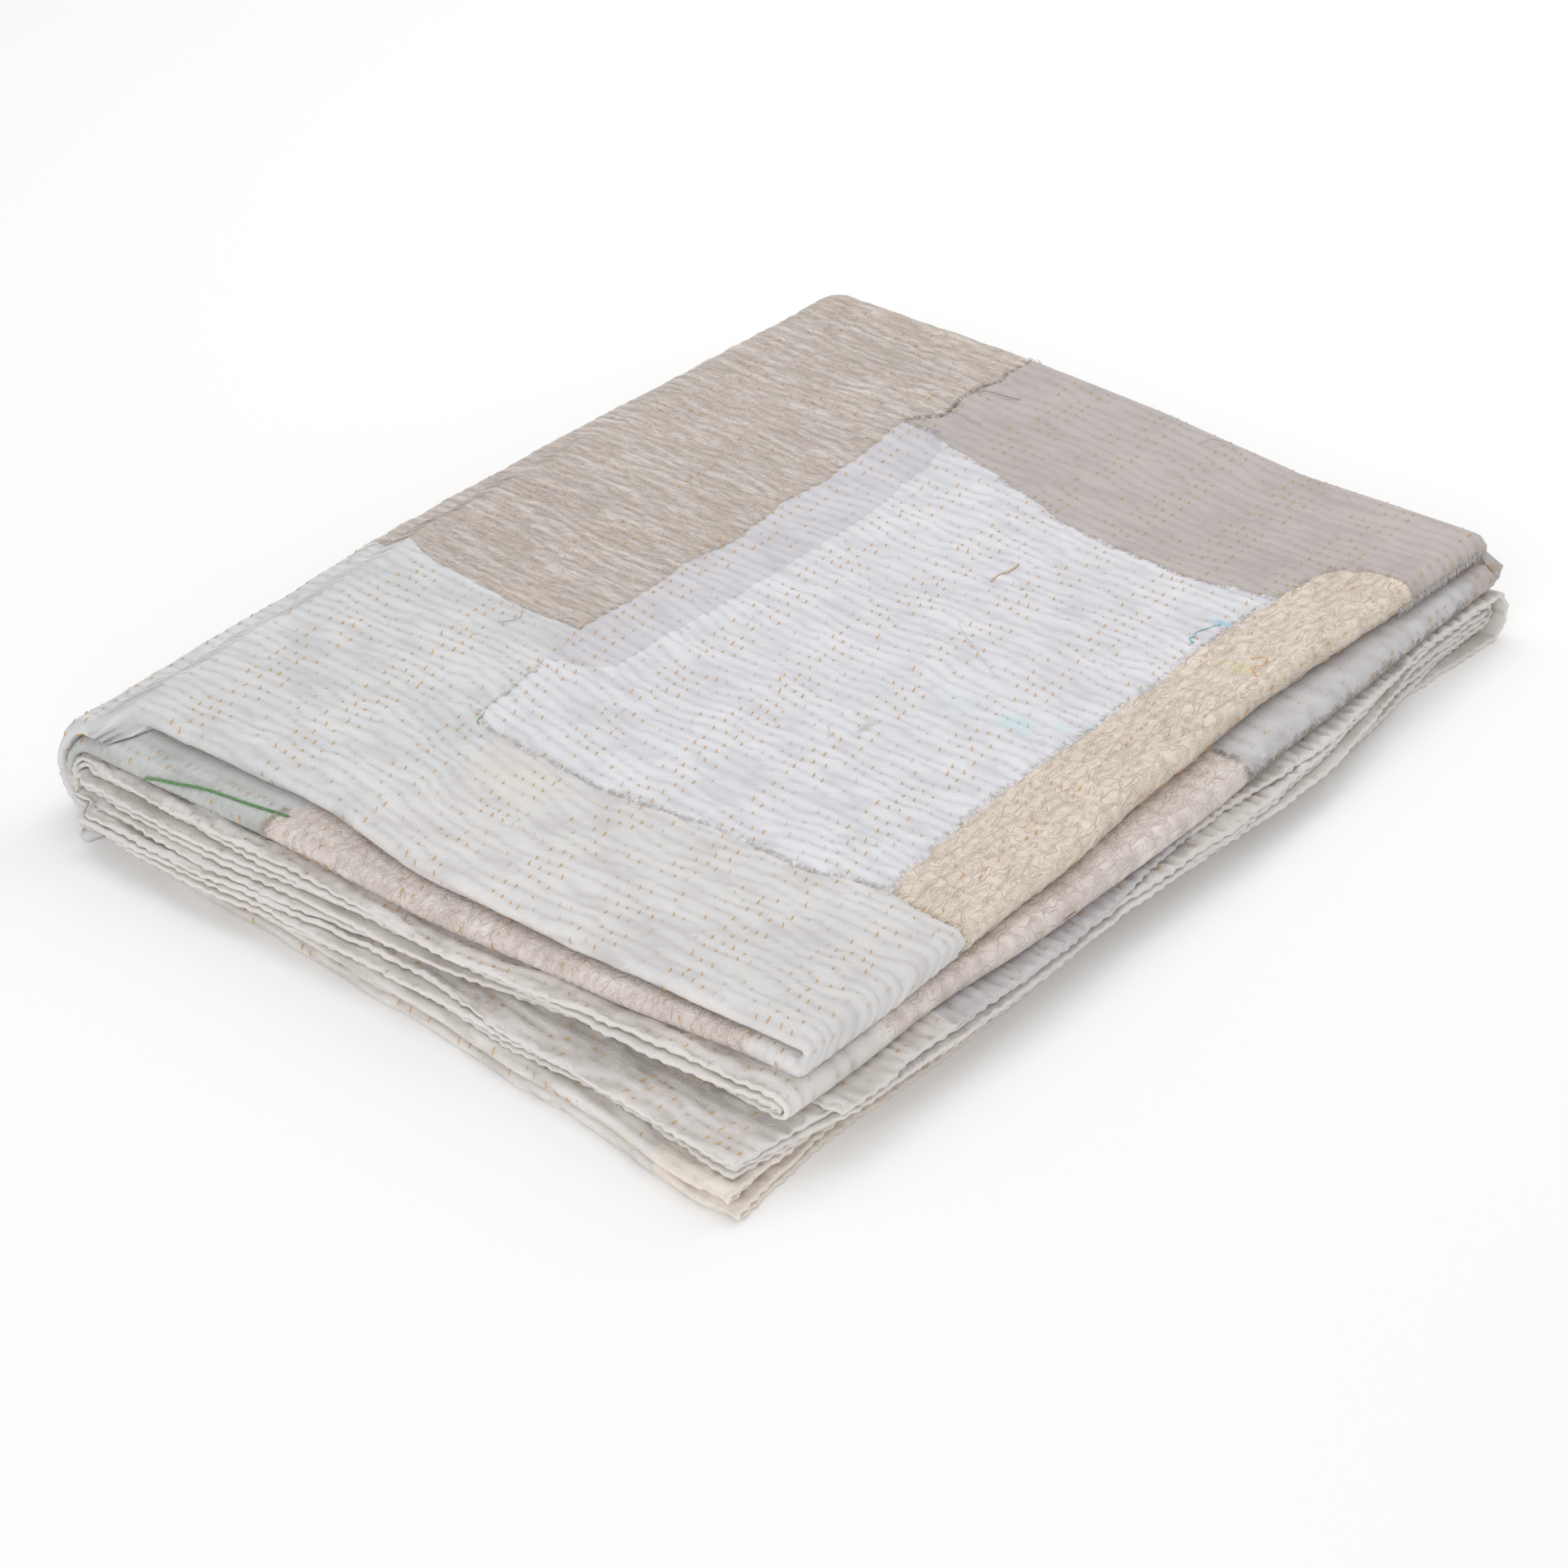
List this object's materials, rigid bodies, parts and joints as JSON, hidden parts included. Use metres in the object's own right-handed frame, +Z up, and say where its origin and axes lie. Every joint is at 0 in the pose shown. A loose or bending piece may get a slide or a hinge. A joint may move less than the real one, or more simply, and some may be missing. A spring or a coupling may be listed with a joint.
{
  "type": "folded kantha quilt",
  "caption": "Quilt of worn patched cotton and silk, sewn with rows of running stitch and folded in half again and again into a flat rectangular stack.",
  "frame": {"origin": "on the floor, in the middle of the folded quilt's bounding box", "axes": "+X along the short side, towards the open side of folds and hems; +Y along the long side, away from the front; +Z up"},
  "size_m": [0.4682, 0.6262, 0.0599],
  "materials": {
    "quilted_cotton": "matt washed cotton with patches of silk"
  },
  "bodies": {
    "root": {"quilt": "quilted_cotton"}
  },
  "joints": []
}
